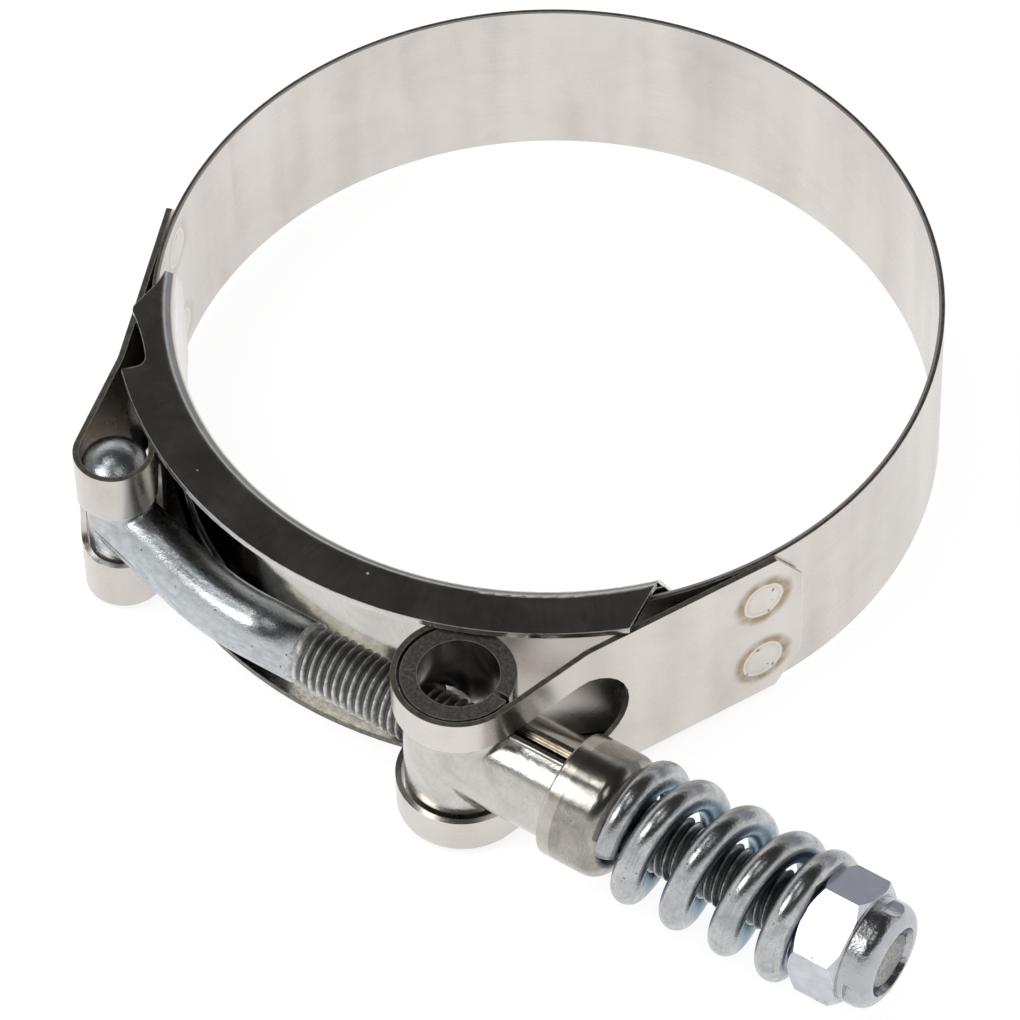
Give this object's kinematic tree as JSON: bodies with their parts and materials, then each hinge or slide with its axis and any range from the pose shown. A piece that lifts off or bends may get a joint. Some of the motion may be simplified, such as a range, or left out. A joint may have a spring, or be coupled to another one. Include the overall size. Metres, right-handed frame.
{
  "type": "hose clamp",
  "caption": "Spring-loaded T-bolt hose clamp: a steel band with folded loops and a bridge across the gap, drawn tight by a bolt, spring and lock nut.",
  "frame": {"origin": "on the hose axis, at the middle of the band's width", "axes": "+Z along the hose axis, +X along the bolt from its T-head towards the nut, the bolt on the -Y side"},
  "size_m": [0.1055, 0.088, 0.0208],
  "materials": {
    "band_steel": "satin cold-rolled stainless strip",
    "bridge_steel": "bright pressed stainless with fine scratches",
    "bolt_steel": "forged and zinc plated",
    "trunnion_steel": "polished stainless",
    "cup_steel": "polished drawn stainless",
    "spring_steel": "bright zinc plated wire",
    "nut_steel": "bright zinc plated"
  },
  "bodies": {
    "band": {"band": "band_steel"},
    "bridge": {"bridge": "bridge_steel"},
    "t_bolt": {"t_bolt": "bolt_steel"},
    "trunnion": {"trunnion": "trunnion_steel", "spring_cup": "cup_steel"},
    "spring": {"spring": "spring_steel"},
    "lock_nut": {"lock_nut": "nut_steel"}
  },
  "joints": [
    {"name": "bridge_slide", "type": "hinge", "parent": "band", "child": "bridge", "pos_m": [0, 0, 0], "axis": [0, 0, 1], "range_deg": [-3, 3]},
    {"name": "t_bolt_pivot", "type": "hinge", "parent": "band", "child": "t_bolt", "pos_m": [-0.0242, -0.03945, 0], "axis": [0, 0, 1], "range_deg": [-0.5, 0.5]},
    {"name": "trunnion_pivot", "type": "hinge", "parent": "band", "child": "trunnion", "pos_m": [0.0185, -0.0436, 0], "axis": [0, 0, 1], "range_deg": [-0.5, 0.5]},
    {"name": "nut_travel", "type": "slide", "parent": "t_bolt", "child": "spring", "axis": [-1, 0, 0], "range_m": [0, 0.00499], "deforming": ["spring"]},
    {"name": "nut_turn", "type": "hinge", "parent": "spring", "child": "lock_nut", "pos_m": [0.0608, -0.0436, 0], "axis": [-1, 0, 0], "range_deg": [0, 1981]}
  ],
  "couplings": [
    {"joint": "trunnion_pivot", "follows": "t_bolt_pivot", "ratio": 1},
    {"joint": "nut_turn", "follows": "nut_travel", "rad_per_m": 6927.4}
  ]
}
